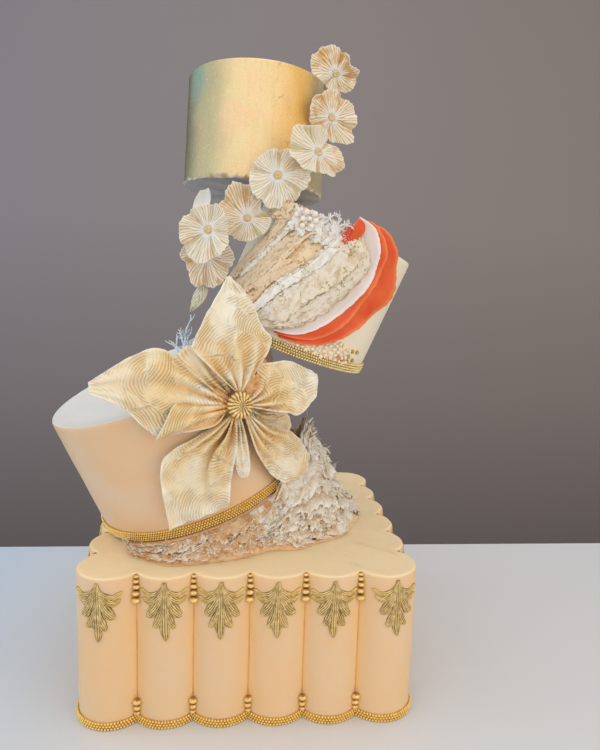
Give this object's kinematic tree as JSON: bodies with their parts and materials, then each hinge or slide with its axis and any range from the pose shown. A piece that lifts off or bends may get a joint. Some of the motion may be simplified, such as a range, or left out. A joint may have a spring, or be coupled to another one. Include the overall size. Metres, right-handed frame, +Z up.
{
  "type": "topsy-turvy cake",
  "caption": "Celebration cake with a fluted square base, leaning round tiers, gold acanthus leaves and beading, a large fondant bow, lace ruffles and a trail of wafer flowers.",
  "frame": {"origin": "centre of the base tier's underside, on the surface it stands on", "axes": "+Z up; -Y towards the front with the bow and flowers; +X to the right seen from the front"},
  "size_m": [0.3591, 0.3168, 0.6281],
  "materials": {
    "peach_fondant": "satin rolled fondant",
    "ivory_fondant": "satin rolled fondant",
    "peach_base": "satin rolled fondant",
    "gold_leaf": "edible gold leaf over fondant",
    "gold_pearl": "sugar pearls dusted gold",
    "old_gold": "moulded sugar paste painted gold",
    "wafer": "ridged wafer paper with gold dusted grooves",
    "lace": "dry sugar lace with gold edges",
    "white_sugar": "matt sugar",
    "coral_outer": "coral fondant",
    "coral_inner": "coral fondant",
    "white_ruffle": "white fondant",
    "cream_lace": "sugar lace with gold specks",
    "peach_band": "peach fondant",
    "left_lace": "sugar lace with gold edges",
    "bow": "ivory fondant with wood-grain relief, grooves dusted gold",
    "wood": "plain dowel",
    "wire": "florist wire"
  },
  "bodies": {
    "root": {"band_peach": "peach_band", "base_border": "gold_pearl", "base_tier": "peach_base", "bow_button": "old_gold", "dowel_left": "wood", "dowel_right": "wood", "dowel_top": "wood", "flower_1": "wafer", "flower_2": "wafer", "flower_3": "wafer", "flower_4": "wafer", "flower_5": "wafer", "flower_6": "wafer", "flower_7": "wafer", "flower_wire": "wire", "lace_cream": "cream_lace", "lace_heap": "lace", "lace_left": "left_lace", "leaf_01": "old_gold", "leaf_02": "old_gold", "leaf_03": "old_gold", "leaf_04": "old_gold", "leaf_05": "old_gold", "leaf_06": "old_gold", "leaf_07": "old_gold", "leaf_08": "old_gold", "leaf_09": "old_gold", "leaf_10": "old_gold", "leaf_11": "old_gold", "leaf_12": "old_gold", "leaf_13": "old_gold", "leaf_14": "old_gold", "leaf_15": "old_gold", "leaf_16": "old_gold", "leaf_17": "old_gold", "leaf_18": "old_gold", "leaf_19": "old_gold", "leaf_20": "old_gold", "petal_bottom": "bow", "petal_left": "bow", "petal_lower_left": "bow", "petal_lower_right": "bow", "petal_right": "bow", "petal_small": "bow", "petal_top": "bow", "petal_upper_left": "bow", "petal_upper_right": "bow", "ruffle_coral_inner": "coral_inner", "ruffle_coral_outer": "coral_outer", "ruffle_white": "white_ruffle", "small_leaf": "wafer", "sprig_left": "white_sugar", "sprig_right": "white_sugar", "tier_2": "peach_fondant", "tier_2_trim": "gold_pearl", "tier_3": "ivory_fondant", "tier_3_trim": "gold_pearl", "tier_4": "gold_leaf"}
  },
  "joints": []
}
